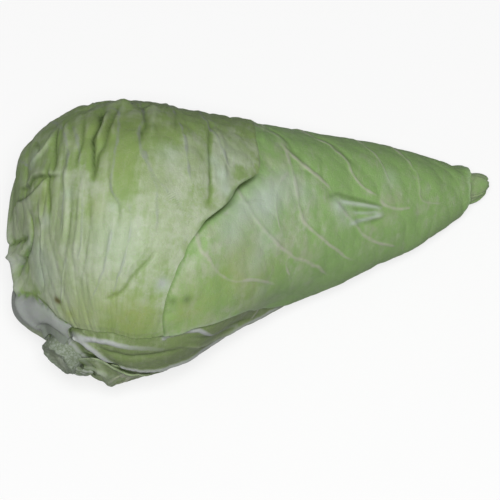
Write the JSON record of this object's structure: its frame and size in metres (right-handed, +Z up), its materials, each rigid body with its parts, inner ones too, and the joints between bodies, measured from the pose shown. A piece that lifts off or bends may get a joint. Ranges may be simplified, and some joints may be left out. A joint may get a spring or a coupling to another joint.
{
  "type": "pointed cabbage",
  "caption": "Pointed cabbage lying on its side: a cone of wrapped leaves with a cut stalk, for display on a table, crate or shelf.",
  "frame": {"origin": "on the ground, under the middle of the part's box", "axes": "+Z up, +X along the head towards its point, +Y towards the far side"},
  "size_m": [0.2478, 0.14, 0.1363],
  "materials": {
    "inner_leaf": "pale green inner leaf, satin",
    "ribbed_leaf": "green leaf with pale ribs, waxy",
    "wrapper_leaf": "smooth green leaf with pale veins, waxy",
    "outer_leaf": "crumpled pale green leaf with a waxy bloom",
    "stalk": "cut stalk, matt and fibrous",
    "torn_stalk": "torn leaf stalk, dull grey green"
  },
  "bodies": {
    "root": {"heart": "inner_leaf", "side_leaf": "ribbed_leaf", "ground_leaf": "ribbed_leaf", "far_side_leaf": "wrapper_leaf", "front_wrapper_leaf": "wrapper_leaf", "short_side_leaf": "ribbed_leaf", "outer_wrapper_leaf": "outer_leaf", "stalk": "stalk", "broken_leaf_stalk_near": "torn_stalk", "broken_leaf_stalk_far": "torn_stalk"}
  },
  "joints": []
}
